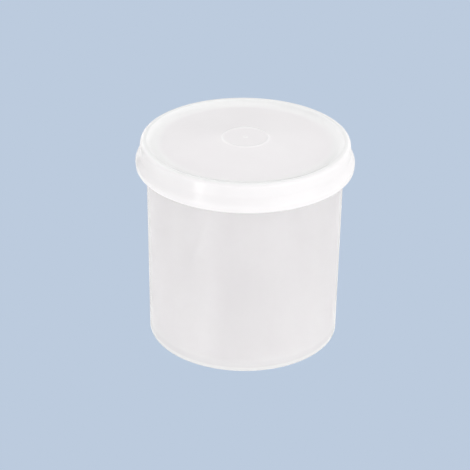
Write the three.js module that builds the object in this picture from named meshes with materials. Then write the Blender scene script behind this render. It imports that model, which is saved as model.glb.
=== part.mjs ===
// A round slide staining jar with a press-on lid.
// Sizes are in millimetres. The jar stands on z = 0 and its axis is +Z.
// Each piece is one moulding: a closed outline in the (radius, height) plane, turned round the axis.
// An outline runs from the axis under the piece, out and up over its outside, and back to the axis.

import * as THREE from "three";

const facets = 64; // round the axis

// Jar: a cup with a slight taper, a standing ring under its base and a bead round its mouth.
const jarHeight = 82.4; // foot to rim
const jarFootRadius = 38.67; // outside of the wall at the foot
const jarMouthRadius = 39.31; // outside of the wall at the rim
const jarWall = 1.3;
const jarFloor = 1.5;
const heelRadius = 0.6; // outer corner between wall and foot
const floorFillet = 3; // inner corner between wall and floor
const standingRingWidth = 3.4; // flat that the jar stands on
const baseRecess = 0.6; // height of the base inside the standing ring
const gateWellRadius = 7.5; // round well in the middle of the base
const gateWellDepth = 0.5;
const bevel = 0.5; // run of the small slopes at the recess and the well
const rimRounding = 0.4;
const beadReach = 0.9; // how far the bead stands out from the wall
const beadHeight = 3; // bead, from its widest line to the rim
const beadUndercut = 0.9; // height of the slope under the bead

// Lid: a panel with a flat middle that falls gently to a trough, a plug ring inside the jar's mouth,
// a crest over its rim, and a skirt that flares to a lip.
const seatGap = 0.3; // between the lid and the jar's rim and bead
const plugGap = 0.3; // between the plug ring and the jar's bore
const crestThickness = 1.5; // over the jar's rim
const crestRounding = 1.4; // outer edge of the crest
const crestWidth = 2.4; // flat of the crest and its rounding, as seen from above
const panelThickness = 1.2;
const middleRadius = 9.1; // flat middle of the panel, with a fine raised ring round its edge
const middleRise = 0.8; // height of the flat middle over the crest
const troughRadius = 33.5; // lowest line of the panel
const troughDepth = 1.33; // under the crest
const slopeCurve = 1.3; // power of the slope from the trough up to the flat middle
const dishCurve = 2.3; // power of the hollow curve from the trough up to the crest
const ringMarkWidth = 0.9;
const ringMarkHeight = 0.12;
const gateNubRadius = 0.8;
const gateNubHeight = 0.1;
const plugWidth = 1.2;
const plugDepth = 3; // under the crest's inside
const skirtWall = 1.2;
const skirtDepth = 10.85; // crest to the lip's lower edge
const skirtDraft = THREE.MathUtils.degToRad(5.2);
const lipReach = 1.65; // how far the lip stands out from the skirt
const lipHeight = 2.1;
const lipDraft = 0.2; // how much narrower the lip is at its lower edge
const flareHeight = 4.4; // double curve between the skirt and the lip
const snapGap = 0.3; // between the snap bead and the jar's bead as the lid comes off
const snapHeight = 1; // each slope of the snap bead

// Places that the two pieces share.
const beadRadius = jarMouthRadius + beadReach;
const beadLine = jarHeight - beadHeight;
const beadFoot = beadLine - beadUndercut;
const crestInside = jarHeight + seatGap;
const lidHeight = crestInside + crestThickness;

const at = (radius, height) => new THREE.Vector2(radius, height);

// Points on a quarter of an ellipse, without its first point. Angles are in quarter turns from +radius.
function quarter(centre, reach, rise, from, to, count) {
  const points = [];
  for (let i = 1; i <= count; i++) {
    const angle = (Math.PI / 2) * THREE.MathUtils.lerp(from, to, i / count);
    points.push(at(centre.x + reach * Math.cos(angle), centre.y + rise * Math.sin(angle)));
  }
  return points;
}

function turned(name, outline, material) {
  const geometry = new THREE.LatheGeometry(outline, facets);
  geometry.rotateX(Math.PI / 2);
  const mesh = new THREE.Mesh(geometry, material);
  mesh.name = name;
  return mesh;
}

const jarOutside = (height) =>
  THREE.MathUtils.lerp(jarFootRadius, jarMouthRadius, height / jarHeight);
const jarInside = (height) => jarOutside(height) - jarWall;

function jarBase() {
  const wellTop = baseRecess + gateWellDepth;
  const footEdge = jarOutside(heelRadius) - heelRadius;
  const ringInside = footEdge - standingRingWidth;
  return [
    at(0, wellTop),
    at(gateWellRadius - bevel, wellTop),
    at(gateWellRadius, baseRecess),
    at(ringInside - bevel, baseRecess),
    at(ringInside, 0),
    at(footEdge, 0),
    ...quarter(at(footEdge, heelRadius), heelRadius, heelRadius, -1, 0, 4),
  ];
}

function jarRim() {
  const roundingStart = jarHeight - rimRounding;
  return [
    at(jarOutside(beadFoot), beadFoot),
    at(beadRadius, beadLine),
    at(beadRadius, roundingStart),
    ...quarter(at(beadRadius - rimRounding, roundingStart), rimRounding, rimRounding, 0, 1, 2),
    at(jarInside(jarHeight) + rimRounding, jarHeight),
    ...quarter(at(jarInside(jarHeight) + rimRounding, roundingStart), rimRounding, rimRounding, 1, 2, 2),
  ];
}

function jarBore() {
  const floor = baseRecess + jarFloor;
  const filletTop = floor + floorFillet;
  const filletStart = jarInside(filletTop);
  return [
    at(filletStart, filletTop),
    ...quarter(at(filletStart - floorFillet, filletTop), floorFillet, floorFillet, 0, -1, 4),
    at(0, floor),
  ];
}

function jar() {
  const material = new THREE.MeshStandardMaterial({ color: 0xe7e5e6, roughness: 0.35, metalness: 0 });
  return turned("jar", [...jarBase(), ...jarRim(), ...jarBore()], material);
}

const skirtInside = (height) =>
  beadRadius + seatGap + Math.tan(skirtDraft) * (crestInside - height);
const skirtOutside = (height) => skirtInside(height) + skirtWall;
const crestInnerRadius = skirtOutside(lidHeight) - crestWidth;

// Height of the lid's upper face: a flat middle, a slope down to the trough, and a hollow curve
// up to the crest.
function panelTop(radius) {
  const trough = lidHeight - troughDepth;
  if (radius > troughRadius) {
    const share = (radius - troughRadius) / (crestInnerRadius - troughRadius);
    return THREE.MathUtils.lerp(trough, lidHeight, share ** dishCurve);
  }
  const share = (troughRadius - Math.max(radius, middleRadius)) / (troughRadius - middleRadius);
  return THREE.MathUtils.lerp(trough, lidHeight + middleRise, share ** slopeCurve);
}

const onPanel = (radius, drop = 0) => at(radius, panelTop(radius) - drop);

// Values from one to another in equal steps, without the first.
function steps(from, to, count) {
  return Array.from({ length: count }, (_, i) => THREE.MathUtils.lerp(from, to, (i + 1) / count));
}

function panelUnderside(plugInside) {
  const radii = [0, middleRadius, ...steps(middleRadius, troughRadius, 3), plugInside];
  return radii.map((radius) => onPanel(radius, panelThickness));
}

function plugRing(plugOutside) {
  const plugFoot = crestInside - plugDepth;
  const plugInside = plugOutside - plugWidth;
  return [
    at(plugInside, plugFoot + bevel),
    at(plugInside + bevel, plugFoot),
    at(plugOutside - bevel, plugFoot),
    at(plugOutside, plugFoot + bevel),
    at(plugOutside, crestInside),
  ];
}

// A smooth double curve up from the lip to the skirt, without its first point.
function flare(lipRadius, lipTop, skirtRadius, flareTop) {
  return steps(0, 1, 4).map((share) =>
    at(
      THREE.MathUtils.lerp(lipRadius, skirtRadius, THREE.MathUtils.smoothstep(share, 0, 1)),
      THREE.MathUtils.lerp(lipTop, flareTop, share),
    ),
  );
}

function skirt() {
  const foot = lidHeight - skirtDepth;
  const lipTop = foot + lipHeight;
  const flareTop = lipTop + flareHeight;
  const lipRadius = skirtOutside(flareTop) + lipReach;
  const snapLine = beadFoot - snapHeight;
  const roundingStart = lidHeight - crestRounding;
  const roundingRadius = skirtOutside(roundingStart);
  return [
    at(skirtInside(crestInside), crestInside),
    at(skirtInside(beadFoot), beadFoot),
    at(beadRadius + snapGap, snapLine),
    at(skirtInside(snapLine - snapHeight), snapLine - snapHeight),
    at(skirtInside(foot), foot),
    at(lipRadius - lipDraft, foot),
    at(lipRadius, lipTop),
    ...flare(lipRadius, lipTop, skirtOutside(flareTop), flareTop),
    at(roundingRadius, roundingStart),
    ...quarter(at(roundingRadius - crestRounding, roundingStart), crestRounding, crestRounding, 0, 1, 4),
  ];
}

function panelUpperFace() {
  const ringOutside = middleRadius + ringMarkWidth / 2;
  const ringInside = middleRadius - ringMarkWidth / 2;
  return [
    onPanel(crestInnerRadius),
    ...steps(crestInnerRadius, troughRadius, 4).map((radius) => onPanel(radius)),
    ...steps(troughRadius, ringOutside, 4).map((radius) => onPanel(radius)),
    onPanel(middleRadius, -ringMarkHeight),
    onPanel(ringInside),
    onPanel(gateNubRadius),
    at(0, panelTop(0) + gateNubHeight),
  ];
}

function lid() {
  const material = new THREE.MeshStandardMaterial({ color: 0xf6f5f5, roughness: 0.4, metalness: 0 });
  const plugOutside = jarInside(jarHeight) - plugGap;
  return turned(
    "lid",
    [
      ...panelUnderside(plugOutside - plugWidth),
      ...plugRing(plugOutside),
      ...skirt(),
      ...panelUpperFace(),
    ],
    material,
  );
}

const stainingJar = new THREE.Group();
stainingJar.name = "slide_staining_jar";
stainingJar.add(jar(), lid());

export default stainingJar;
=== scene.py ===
"""Looks of the slide staining jar: a milky translucent jar with a soft white press-on lid.

Both pieces are turned shapes, built here finer than in the frame, with every edge rounded.
Sizes and outlines of the pieces are in millimetres. An outline is (radius, height) from the axis
under a piece, out and up, and back. The materials, the camera and the stage are in metres.
"""

import math

import bpy
import numpy as np
from mathutils import Matrix, Vector


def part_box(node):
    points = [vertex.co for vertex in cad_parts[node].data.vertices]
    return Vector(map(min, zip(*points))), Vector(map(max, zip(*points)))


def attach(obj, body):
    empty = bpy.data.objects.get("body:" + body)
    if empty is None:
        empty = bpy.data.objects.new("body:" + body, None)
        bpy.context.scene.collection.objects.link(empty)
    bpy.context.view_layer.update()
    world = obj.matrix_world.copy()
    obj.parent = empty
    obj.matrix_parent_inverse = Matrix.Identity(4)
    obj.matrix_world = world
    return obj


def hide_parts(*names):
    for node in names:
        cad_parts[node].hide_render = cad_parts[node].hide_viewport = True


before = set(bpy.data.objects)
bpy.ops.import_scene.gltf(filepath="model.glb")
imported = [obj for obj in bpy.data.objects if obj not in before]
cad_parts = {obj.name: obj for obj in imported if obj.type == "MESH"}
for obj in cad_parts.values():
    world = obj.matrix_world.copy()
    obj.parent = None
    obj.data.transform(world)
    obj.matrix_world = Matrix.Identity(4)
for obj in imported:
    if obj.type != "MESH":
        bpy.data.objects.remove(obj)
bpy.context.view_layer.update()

MM = 0.001
TURNS = 256  # faces round the axis
LONGEST_STEP = 1.6  # between two points of an outline
FILLET_STEPS = 7

jar_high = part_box("jar")[1]
lid_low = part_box("lid")[0]

# Jar
JAR_HEIGHT = jar_high.z / MM
BEAD_RADIUS = jar_high.x / MM
BEAD_REACH = 0.9
MOUTH_RADIUS = BEAD_RADIUS - BEAD_REACH
TAPER = 0.64  # how much narrower the foot is than the mouth
FOOT_RADIUS = MOUTH_RADIUS - TAPER
WALL = 1.3
FLOOR = 1.5
HEEL_RADIUS = 0.6
FLOOR_FILLET = 3.0
STANDING_RING_WIDTH = 3.4
BASE_RECESS = 0.6
GATE_WELL_RADIUS = 7.5
GATE_WELL_DEPTH = 0.5
BEVEL = 0.5
BEAD_HEIGHT = 3.0
BEAD_UNDERCUT = 0.9

# Lid
SEAT_GAP = 0.3
CREST_THICKNESS = 1.5
CREST_ROUNDING = 1.4
CREST_INNER_ROUNDING = 1.2
CREST_WIDTH = 2.4
PANEL_THICKNESS = 1.2
MIDDLE_RADIUS = 9.1
MIDDLE_RISE = 0.8
TROUGH_RADIUS = 33.5
TROUGH_DEPTH = 1.33
SLOPE_CURVE = 1.3
DISH_CURVE = 2.3
RING_MARK_WIDTH = 0.9
RING_MARK_HEIGHT = 0.1
NUB_RADIUS = 0.8
NUB_CORE = 0.48  # radius at which the nub falls away
NUB_HEIGHT = 0.1
PLUG_WIDTH = 1.2
PLUG_DEPTH = 3.0
SKIRT_WALL = 1.2
SKIRT_SLOPE = math.tan(math.radians(5.2))
LIP_REACH = 1.65
LIP_HEIGHT = 2.1
LIP_DRAFT = 0.2
FLARE_HEIGHT = 4.4
FLARE_STEPS = 12
SNAP_GAP = 0.3
SNAP_HEIGHT = 1.0
CREST_INSIDE = JAR_HEIGHT + SEAT_GAP
LID_HEIGHT = CREST_INSIDE + CREST_THICKNESS
LIP_FOOT = lid_low.z / MM

# In a fade, a value goes from 0 at the first number to 1 at the second. In a zone, it is 1 between
# the inner two numbers and 0 at the outer two. A pair of colours is the range that noise gives.

# Jar's plastic
JAR_THIN = ((0.847, 0.827, 0.840), (0.877, 0.857, 0.870))
# Whiter at the heel: partly the thick plastic there, partly painted light that brightens the jar's
# foot.
JAR_THICK_AND_LIT = ((0.97, 0.96, 0.96), (0.99, 0.98, 0.98))
# Painted shade: a darker band on the outer wall just above the heel.
JAR_LOW_WALL_SHADE = (0.812, 0.792, 0.805, 1)
HEEL_FADE = (0.0021, 0.0014)  # height
LOW_WALL_SHADE_ZONE = (0.0016, 0.0024, 0.0034, 0.0050)  # height
OUTSIDE_FADE = (0.0372, 0.0380)  # radius

# Lid's plastic
LID_THIN = ((0.877, 0.858, 0.868), (0.897, 0.878, 0.888))
# Whiter on the crest and skirt: partly thicker plastic, partly painted light. On the ring mark and nub:
# a painted highlight.
LID_THICK_AND_LIT = ((0.928, 0.915, 0.920), (0.948, 0.935, 0.940))
CREST_ZONE = (0.0325, 0.0360, 0.0400, 0.0412)  # radius, as in the next three
SKIRT_FADE = (0.0400, 0.0412)
# The ring mark's and the nub's zones carry a painted highlight.
RING_MARK_ZONE = (0.0082, 0.0089, 0.0093, 0.0100)
NUB_FADE = (0.0013, 0.0008)
SKIRT_SHARE = 0.4  # share of the whiter colour on the skirt beside the crest: partly its doubled plastic, partly painted light on the outer wall
RING_MARK_HIGHLIGHT = (0.0, 0.8)  # least and most share of the whiter colour round the ring mark, a painted highlight, patchy with noise

# Stage
BACKDROP = (0.503, 0.597, 0.730, 1)
FLOOR_REACH = 4.0  # from the axis to the floor's sides
FLOOR_LIGHT = 0.84
FOOT_LIGHT = 0.11  # extra round the jar's foot
FOOT_FADE = (0.15, 0.05)  # distance from the axis
PATCH = (-0.004, -0.100, 0)  # middle of a darker patch of floor before the jar
PATCH_SHAPE = (0.55, 1, 1)
PATCH_LIGHT = -0.65
PATCH_FADE = (0.020, 0.006)  # distance from the patch's middle
BANDS_FROM = (0, -0.0235, 0)  # where the floor's bands spread from

# Azimuth, width, soft edge and extra light of each band
NEAR_BANDS = ((-46, 22, 8, 0.64), (51, 36, 13, 0.23), (-115, 60, 20, 0.20), (0, 60, 20, -0.11))
REAR_BANDS = ((-144, 44, 10, -0.25), (144, 44, 10, -0.13))
FAR_BANDS = ((10, 127, 1, 0.2), (-48.5, 9, 1.5, 1.6), (-100, 90, 1, -0.48))
SKY_BANDS = ((10, 127, 1, 0.34), (-48.5, 9, 1.5, 1.6), (152, 24, 8, 0.6), (-158, 22, 7, 0.8))
NEAR_FADE = (0.042, 0.056)  # distance from the axis, as in the next two
REAR_ZONE = (0.038, 0.044, 0.054, 0.110)
FAR_FADE = (0.18, 0.24)
SKY_FADE = (0.77, 0.57)  # height of a direction
SKY_LIGHT = 0.55
# Azimuth, elevation, angles of full and of no extra light, and extra light of each soft lobe
SKY_LOBES = ((100, 20, 20, 80, 0.42), (-100, 20, 20, 80, 0.31))
LAMPS_AIM = Vector((0, 0, 0.05))

# Camera, as the jar was photographed. Lens and sensor are in millimetres.
LENS = 130.2
SENSOR_WIDTH = 36.0
DISTANCE = 0.6928
ELEVATION = math.radians(28.12)
ROLL = math.radians(0.69)
TARGET = Vector((-0.0037, 0.0002, 0.0409))


# ---------------------------------------------------------------- turned shapes


def filleted(corners):
    """The points of an outline of (radius, height, fillet) corners, with each fillet as an arc."""
    points = []
    for i, (r, z, fillet) in enumerate(corners):
        here = np.array((r, z))
        if not fillet:
            points.append(here)
            continue
        before = np.array(corners[i - 1][:2]) - here
        after = np.array(corners[i + 1][:2]) - here
        before /= np.linalg.norm(before)
        after /= np.linalg.norm(after)
        half = math.acos(np.clip(before @ after, -1, 1)) / 2
        middle = before + after
        centre = here + middle / np.linalg.norm(middle) * fillet / math.sin(half)
        start = here + before * fillet / math.tan(half) - centre
        end = here + after * fillet / math.tan(half) - centre
        turn = math.atan2(start[0] * end[1] - start[1] * end[0], start @ end)
        for step in np.linspace(0, turn, FILLET_STEPS + 1):
            c, s = math.cos(step), math.sin(step)
            points.append(centre + (c * start[0] - s * start[1], s * start[0] + c * start[1]))
    return points


def stepped(points):
    """The same outline with points added, so that none are further apart than LONGEST_STEP."""
    fine = [points[0]]
    for a, b in zip(points, points[1:]):
        steps = max(1, math.ceil(np.linalg.norm(b - a) / LONGEST_STEP))
        fine += [a + (b - a) * k / steps for k in range(1, steps + 1)]
    return fine


def turned(name, outline):
    """A closed mesh from an outline that starts and ends on the axis, turned round +Z."""
    rings = np.array(outline[1:-1]) * MM
    angles = np.linspace(0, 2 * math.pi, TURNS, endpoint=False)
    circle = np.stack([np.cos(angles), np.sin(angles)], axis=1)
    vertices = np.empty((len(rings), TURNS, 3))
    vertices[:, :, :2] = rings[:, None, :1] * circle
    vertices[:, :, 2] = rings[:, 1:]
    points = [*map(tuple, vertices.reshape(-1, 3))]
    low, high = len(points), len(points) + 1
    points += [(0, 0, outline[0][1] * MM), (0, 0, outline[-1][1] * MM)]
    faces = []
    last = (len(rings) - 1) * TURNS
    for k in range(TURNS):
        n = (k + 1) % TURNS
        faces.append((low, n, k))
        faces += [
            (j + k, j + n, j + TURNS + n, j + TURNS + k) for j in range(0, last, TURNS)
        ]
        faces.append((high, last + k, last + n))
    mesh = bpy.data.meshes.new(name)
    mesh.from_pydata(points, [], faces)
    mesh.update()
    mesh.shade_smooth()
    piece = bpy.data.objects.new(name, mesh)
    bpy.context.scene.collection.objects.link(piece)
    return piece


def jar_outside(height):
    return FOOT_RADIUS + (MOUTH_RADIUS - FOOT_RADIUS) * height / JAR_HEIGHT


def jar_outline():
    well_top = BASE_RECESS + GATE_WELL_DEPTH
    ring_inside = jar_outside(HEEL_RADIUS) - HEEL_RADIUS - STANDING_RING_WIDTH
    bead_line = JAR_HEIGHT - BEAD_HEIGHT
    bead_foot = bead_line - BEAD_UNDERCUT
    floor = BASE_RECESS + FLOOR
    corners = [
        (0, well_top, 0),
        (GATE_WELL_RADIUS - BEVEL, well_top, 0.4),
        (GATE_WELL_RADIUS, BASE_RECESS, 0.2),
        (ring_inside - BEVEL, BASE_RECESS, 0.5),
        (ring_inside, 0, 0.3),
        (jar_outside(0), 0, HEEL_RADIUS),
        (jar_outside(bead_foot), bead_foot, 0.6),
        (BEAD_RADIUS, bead_line, 0.5),
        (BEAD_RADIUS, JAR_HEIGHT, 0.4),
        (MOUTH_RADIUS - WALL, JAR_HEIGHT, 0.4),
        (jar_outside(floor) - WALL, floor, FLOOR_FILLET),
        (0, floor, 0),
    ]
    return stepped(filleted(corners))


def skirt_inside(height):
    return BEAD_RADIUS + SEAT_GAP + SKIRT_SLOPE * (CREST_INSIDE - height)


CREST_INNER_RADIUS = skirt_inside(LID_HEIGHT) + SKIRT_WALL - CREST_WIDTH


def panel_top(radius):
    """Height of the lid's upper face: a flat middle, a slope to a trough, and a rise to the crest."""
    middle = (TROUGH_RADIUS - np.maximum(radius, MIDDLE_RADIUS)) / (TROUGH_RADIUS - MIDDLE_RADIUS)
    crest = (radius - TROUGH_RADIUS) / (CREST_INNER_RADIUS - TROUGH_RADIUS)
    rise = (TROUGH_DEPTH + MIDDLE_RISE) * np.clip(middle, 0, 1) ** SLOPE_CURVE
    return LID_HEIGHT - TROUGH_DEPTH + rise + TROUGH_DEPTH * np.clip(crest, 0, 1) ** DISH_CURVE


def ring_mark(radius):
    """Height of the fine raised ring round the panel's flat middle, as a soft, worn bead."""
    off = np.abs(radius - MIDDLE_RADIUS) / RING_MARK_WIDTH
    return RING_MARK_HEIGHT * np.where(off < 1, (1 + np.cos(np.pi * off)) / 2, 0)


def gate_nub(radius):
    """Height of the small round nub at the lid's centre."""
    return NUB_HEIGHT * np.exp(-((radius / NUB_CORE) ** 4))


def panel_points(radii, drop=0.0):
    return [np.array((r, panel_top(r) - drop)) for r in radii]


def upper_face():
    """The panel's upper side, from the crest in to the centre, with its ring mark and nub."""
    radii = np.concatenate(
        [
            np.linspace(CREST_INNER_RADIUS - CREST_INNER_ROUNDING, MIDDLE_RADIUS + RING_MARK_WIDTH, 30),
            np.linspace(MIDDLE_RADIUS + RING_MARK_WIDTH, MIDDLE_RADIUS - RING_MARK_WIDTH, 19)[1:],
            np.linspace(MIDDLE_RADIUS - RING_MARK_WIDTH, 2 * NUB_RADIUS, 6)[1:],
            np.linspace(2 * NUB_RADIUS, 0, 15)[1:],
        ]
    )
    heights = panel_top(radii) + ring_mark(radii) + gate_nub(radii)
    return [np.array(p) for p in zip(radii, heights)]


def flare(lip_radius, lip_top, skirt_radius, flare_top):
    """Corners of a smooth double curve up from the lip to the skirt."""
    shares = np.linspace(0, 1, FLARE_STEPS + 1)[1:]
    blends = shares * shares * (3 - 2 * shares)
    radii = lip_radius + (skirt_radius - lip_radius) * blends
    heights = lip_top + (flare_top - lip_top) * shares
    return [(r, z, 0) for r, z in zip(radii, heights)]


def lid_outline():
    plug_outside = MOUTH_RADIUS - WALL - SEAT_GAP
    plug_inside = plug_outside - PLUG_WIDTH
    plug_foot = CREST_INSIDE - PLUG_DEPTH
    lip_top = LIP_FOOT + LIP_HEIGHT
    flare_top = lip_top + FLARE_HEIGHT
    bead_foot = JAR_HEIGHT - BEAD_HEIGHT - BEAD_UNDERCUT
    snap_line = bead_foot - SNAP_HEIGHT
    snap_foot = snap_line - SNAP_HEIGHT
    skirt_radius = skirt_inside(flare_top) + SKIRT_WALL
    lip_radius = skirt_radius + LIP_REACH
    underside = panel_points(np.linspace(0, plug_inside, 24), PANEL_THICKNESS)
    root = underside.pop()
    corners = [
        (*underside[-1], 0),
        (*root, 0.5),
        (plug_inside, plug_foot, 0.5),
        (plug_outside, plug_foot, 0.5),
        (plug_outside, CREST_INSIDE, 0.4),
        (skirt_inside(CREST_INSIDE), CREST_INSIDE, 0.6),
        (skirt_inside(bead_foot), bead_foot, 0.4),
        (BEAD_RADIUS + SNAP_GAP, snap_line, 0.3),
        (skirt_inside(snap_foot), snap_foot, 0.4),
        (skirt_inside(LIP_FOOT), LIP_FOOT, 0.3),
        (lip_radius - LIP_DRAFT, LIP_FOOT, 0.35),
        (lip_radius, lip_top, 0),
        *flare(lip_radius, lip_top, skirt_radius, flare_top),
        (skirt_inside(LID_HEIGHT) + SKIRT_WALL, LID_HEIGHT, CREST_ROUNDING),
        (CREST_INNER_RADIUS, LID_HEIGHT, 0.6 * CREST_INNER_ROUNDING),
        (*panel_points([CREST_INNER_RADIUS - CREST_INNER_ROUNDING])[0], 0),
    ]
    return stepped([*underside[:-1], *filleted(corners)[:-1], *upper_face()])


# ---------------------------------------------------------------- nodes


class Tree:
    """Adds nodes to a node tree. A value is a number, a colour or the output of another node."""

    def __init__(self, tree):
        self.nodes = tree.nodes
        self.links = tree.links

    def set(self, socket, value):
        if isinstance(value, bpy.types.NodeSocket):
            self.links.new(value, socket)
        else:
            socket.default_value = value

    def coordinates(self, kind):
        return self.nodes.new("ShaderNodeTexCoord").outputs[kind]

    def height(self, place):
        split = self.nodes.new("ShaderNodeSeparateXYZ")
        self.links.new(place, split.inputs[0])
        return split.outputs["Z"]

    def radius(self, place):
        """How far a place is from the axis."""
        return self.vector_maths("LENGTH", self.vector_maths("MULTIPLY", place, (1, 1, 0)))

    def maths(self, operation, a, b, clamp=False):
        node = self.nodes.new("ShaderNodeMath")
        node.operation = operation
        node.use_clamp = clamp
        self.set(node.inputs[0], a)
        self.set(node.inputs[1], b)
        return node.outputs[0]

    def times(self, a, b):
        return self.maths("MULTIPLY", a, b)

    def added(self, values):
        total, *others = values
        for value in others:
            total = self.maths("ADD", total, value)
        return total

    def vector_maths(self, operation, vector, other=None):
        node = self.nodes.new("ShaderNodeVectorMath")
        node.operation = operation
        self.links.new(vector, node.inputs[0])
        if other is not None:
            node.inputs[1].default_value = other
        return node.outputs["Value" if operation in ("LENGTH", "DOT_PRODUCT") else "Vector"]

    def noise(self, place, scale, detail, stretch=(1, 1, 1)):
        """Noise, mostly from 0.3 to 0.7. scale is in repeats for each metre."""
        mapping = self.nodes.new("ShaderNodeMapping")
        mapping.inputs["Scale"].default_value = stretch
        self.links.new(place, mapping.inputs["Vector"])
        texture = self.nodes.new("ShaderNodeTexNoise")
        texture.inputs["Scale"].default_value = scale
        texture.inputs["Detail"].default_value = detail
        self.links.new(mapping.outputs["Vector"], texture.inputs["Vector"])
        return texture.outputs["Fac"]

    def spread(self, noise, low, high):
        """Noise spread over low to high."""
        ranged = self.nodes.new("ShaderNodeMapRange")
        ranged.inputs["From Min"].default_value = 0.3
        ranged.inputs["From Max"].default_value = 0.7
        ranged.inputs["To Min"].default_value = low
        ranged.inputs["To Max"].default_value = high
        self.links.new(noise, ranged.inputs["Value"])
        return ranged.outputs["Result"]

    def between(self, noise, colours):
        """Noise as a colour between two."""
        ramp = self.nodes.new("ShaderNodeValToRGB")
        for element, position, colour in zip(ramp.color_ramp.elements, (0.3, 0.7), colours):
            element.position = position
            element.color = (*colour, 1)
        self.links.new(noise, ramp.inputs["Fac"])
        return ramp.outputs["Color"]

    def faded(self, value, fade):
        node = self.nodes.new("ShaderNodeMapRange")
        node.interpolation_type = "SMOOTHSTEP"
        node.inputs["From Min"].default_value, node.inputs["From Max"].default_value = fade
        self.links.new(value, node.inputs["Value"])
        return node.outputs["Result"]

    def in_zone(self, value, zone):
        before, start, end, after = zone
        return self.times(self.faded(value, (before, start)), self.faded(value, (after, end)))

    def mixed(self, share, low, high):
        """The colour low where share is 0 and high where it is 1."""
        mix = self.nodes.new("ShaderNodeMix")
        mix.data_type = "RGBA"
        sockets = {socket.identifier: socket for socket in mix.inputs}
        self.set(sockets["Factor_Float"], share)
        self.set(sockets["A_Color"], low)
        self.set(sockets["B_Color"], high)
        return next(socket for socket in mix.outputs if socket.identifier == "Result_Color")

    def bumped(self, height, distance, strength, normal=None):
        bump = self.nodes.new("ShaderNodeBump")
        bump.inputs["Distance"].default_value = distance
        bump.inputs["Strength"].default_value = strength
        self.links.new(height, bump.inputs["Height"])
        if normal is not None:
            self.links.new(normal, bump.inputs["Normal"])
        return bump.outputs["Normal"]


# ---------------------------------------------------------------- materials


def new_material(name):
    material = bpy.data.materials.new(name)
    material.use_nodes = True
    return material, Tree(material.node_tree)


def shade(tree, values):
    shader = tree.nodes["Principled BSDF"]
    for name, value in values.items():
        tree.set(shader.inputs[name], value)


def jar_plastic():
    """Natural polypropylene: milky, lets some light straight through, with a soft moulded gloss."""
    material, tree = new_material("jar_polypropylene")
    place = tree.coordinates("Object")
    flow = tree.noise(place, scale=60, detail=3, stretch=(1, 1, 0.25))
    grain = tree.noise(place, scale=900, detail=2)
    height = tree.height(place)
    outside = tree.faded(tree.radius(place), OUTSIDE_FADE)
    # Painted shade: the outer wall from 1.6 to 5 mm up is painted darker.
    low_wall_shade = tree.times(tree.in_zone(height, LOW_WALL_SHADE_ZONE), outside)
    # Painted light: the heel is painted nearly white, partly for its thick plastic and partly to
    # brighten the foot's edge.
    heel = tree.faded(height, HEEL_FADE)
    colour = tree.mixed(heel, tree.between(flow, JAR_THIN), tree.between(flow, JAR_THICK_AND_LIT))
    waves = tree.bumped(flow, distance=0.0006, strength=0.25)
    shade(tree, {
        "Base Color": tree.mixed(low_wall_shade, colour, JAR_LOW_WALL_SHADE),
        "Roughness": tree.spread(flow, 0.18, 0.25),
        "Normal": tree.bumped(grain, distance=0.00003, strength=0.3, normal=waves),
        "IOR": 1.49,
        "Specular IOR Level": 1.0,
        "Alpha": 0.45,
        "Subsurface Weight": 1.0,
        "Subsurface Radius": (0.002, 0.002, 0.002),
        "Subsurface Scale": 1.0,
    })
    return material


def lid_plastic():
    """Natural polyethylene: whiter and softer than the jar, and satin."""
    material, tree = new_material("lid_polyethylene")
    place = tree.coordinates("Object")
    cloud = tree.noise(place, scale=45, detail=3)
    grain = tree.noise(place, scale=1100, detail=2)
    radius = tree.radius(place)
    # Painted light: the crest is painted whiter, partly for its thick plastic and partly to brighten
    # its inner slope, and the skirt likewise to brighten the outer wall.
    crest = tree.in_zone(radius, CREST_ZONE)
    skirt = tree.times(tree.faded(radius, SKIRT_FADE), SKIRT_SHARE)
    # Painted highlight: the ring mark and the nub are painted whiter for their glints, patchy along the
    # ring.
    ring_mark = tree.times(tree.in_zone(radius, RING_MARK_ZONE), tree.spread(cloud, *RING_MARK_HIGHLIGHT))
    nub = tree.faded(radius, NUB_FADE)
    thickness_and_light = tree.added((crest, skirt, ring_mark, nub))
    waves = tree.bumped(cloud, distance=0.0004, strength=0.2)
    shade(tree, {
        "Base Color": tree.mixed(
            thickness_and_light, tree.between(cloud, LID_THIN), tree.between(cloud, LID_THICK_AND_LIT)
        ),
        "Roughness": tree.spread(cloud, 0.09, 0.13),
        "Normal": tree.bumped(grain, distance=0.00001, strength=0.3, normal=waves),
        "IOR": 1.5,
        "Subsurface Weight": 1.0,
        "Subsurface Radius": (0.001, 0.001, 0.001),
        "Subsurface Scale": 1.0,
    })
    return material


# ---------------------------------------------------------------- stage


def toward(azimuth, elevation=0.0):
    """Unit vector to a place round the jar. Azimuth 0 is the camera's side, and positive is right."""
    a, e = math.radians(azimuth), math.radians(elevation)
    return Vector((math.sin(a) * math.cos(e), -math.cos(a) * math.cos(e), math.sin(e)))


def lobe(tree, direction, axis, full, none, light):
    """light where direction points along axis, fading out between two angles in degrees."""
    along = tree.vector_maths("DOT_PRODUCT", direction, axis)
    fade = (math.cos(math.radians(none)), math.cos(math.radians(full)))
    return tree.times(tree.faded(along, fade), light)


def banded(tree, direction, bands, share):
    """The extra light of upright bands, each round an azimuth, times share."""
    level = tree.vector_maths("MULTIPLY", direction, (1, 1, 0))
    outward = tree.vector_maths("NORMALIZE", level)
    lights = [
        lobe(tree, outward, toward(azimuth), width / 2 - edge, width / 2 + edge, extra)
        for azimuth, width, edge, extra in bands
    ]
    return tree.times(tree.added(lights), share)


def seen_or_bounced(tree, light):
    """The backdrop's own colour where the camera sees it, and neutral where it lights the jar."""
    path = tree.nodes.new("ShaderNodeLightPath").outputs
    straight = tree.maths("SUBTRACT", path["Is Camera Ray"], path["Transparent Depth"], clamp=True)
    return tree.mixed(straight, light, BACKDROP)


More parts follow.
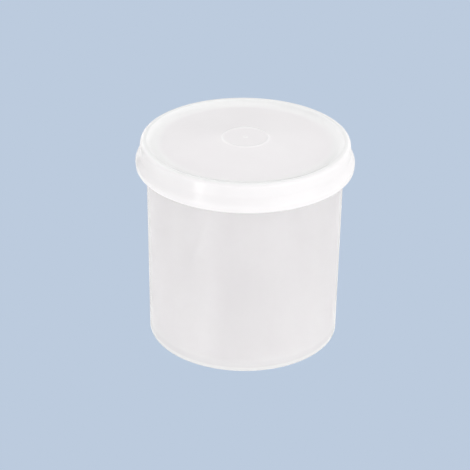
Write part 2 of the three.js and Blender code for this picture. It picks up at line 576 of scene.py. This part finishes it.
def floor_light(tree):
    place = tree.coordinates("Object")
    away = tree.vector_maths("LENGTH", place)
    outward = tree.vector_maths("SUBTRACT", place, BANDS_FROM)
    from_patch = tree.vector_maths("SUBTRACT", place, PATCH)
    from_patch = tree.vector_maths("LENGTH", tree.vector_maths("MULTIPLY", from_patch, PATCH_SHAPE))
    return tree.added((
        FLOOR_LIGHT,
        tree.times(tree.faded(away, FOOT_FADE), FOOT_LIGHT),
        banded(tree, outward, NEAR_BANDS, tree.faded(away, NEAR_FADE)),
        banded(tree, outward, REAR_BANDS, tree.in_zone(away, REAR_ZONE)),
        banded(tree, outward, FAR_BANDS, tree.faded(away, FAR_FADE)),
        tree.times(tree.faded(from_patch, PATCH_FADE), PATCH_LIGHT),
    ))


def make_floor():
    corners = [(x * FLOOR_REACH, y * FLOOR_REACH, 0) for x, y in ((-1, -1), (1, -1), (1, 1), (-1, 1))]
    mesh = bpy.data.meshes.new("floor")
    mesh.from_pydata(corners, [], [(0, 1, 2, 3)])
    floor = bpy.data.objects.new("floor", mesh)
    bpy.context.scene.collection.objects.link(floor)
    material, tree = new_material("floor_glow")
    tree.nodes.remove(tree.nodes["Principled BSDF"])
    glow = tree.nodes.new("ShaderNodeEmission")
    tree.set(glow.inputs["Color"], seen_or_bounced(tree, floor_light(tree)))
    tree.set(tree.nodes["Material Output"].inputs["Surface"], glow.outputs[0])
    mesh.materials.append(material)


def make_world():
    world = bpy.data.worlds.new("studio")
    world.use_nodes = True
    tree = Tree(world.node_tree)
    direction = tree.coordinates("Generated")
    low = tree.faded(tree.height(direction), SKY_FADE)
    lobes = [
        lobe(tree, direction, toward(azimuth, elevation), full, none, extra)
        for azimuth, elevation, full, none, extra in SKY_LOBES
    ]
    light = tree.added((SKY_LIGHT, banded(tree, direction, SKY_BANDS, low), *lobes))
    tree.set(tree.nodes["Background"].inputs["Color"], seen_or_bounced(tree, light))
    bpy.context.scene.world = world


def area_light(name, azimuth, elevation, distance, width, height, light):
    """A softbox facing the jar, unseen by the camera. light is how bright its face is."""
    lamp = bpy.data.lights.new(name, "AREA")
    lamp.shape = "RECTANGLE"
    lamp.size, lamp.size_y = width, height
    lamp.energy = light * math.pi * width * height
    holder = bpy.data.objects.new(name, lamp)
    away = toward(azimuth, elevation)
    holder.location = LAMPS_AIM + away * distance
    holder.rotation_euler = away.to_track_quat("Z", "Y").to_euler()
    holder.visible_camera = False
    bpy.context.scene.collection.objects.link(holder)


def make_lights():
    area_light("key_softbox", 50, 22, distance=1.0, width=0.9, height=0.7, light=0.74)
    area_light("rear_softbox", 166, 57, distance=1.1, width=0.5, height=0.4, light=0.7)


def make_camera():
    camera = bpy.data.cameras.new("camera")
    camera.lens = LENS
    camera.sensor_width = SENSOR_WIDTH
    holder = bpy.data.objects.new("camera", camera)
    back = Vector((0, -math.cos(ELEVATION), math.sin(ELEVATION)))
    level = Vector((1, 0, 0))
    upright = back.cross(level)
    right = level * math.cos(ROLL) + upright * math.sin(ROLL)
    up = upright * math.cos(ROLL) - level * math.sin(ROLL)
    turn = Matrix((right, up, back)).transposed()
    holder.matrix_world = Matrix.Translation(TARGET + back * DISTANCE) @ turn.to_4x4()
    bpy.context.scene.collection.objects.link(holder)
    bpy.context.scene.camera = holder


# ---------------------------------------------------------------- the object


def dress(name, node, outline, material):
    piece = turned(name, outline)
    piece.data.materials.append(material)
    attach(piece, node)
    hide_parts(node)


make_camera()
dress("jar_moulding", "jar", jar_outline(), jar_plastic())
dress("lid_moulding", "lid", lid_outline(), lid_plastic())
make_floor()
make_world()
make_lights()
bpy.context.scene.view_settings.view_transform = "Standard"
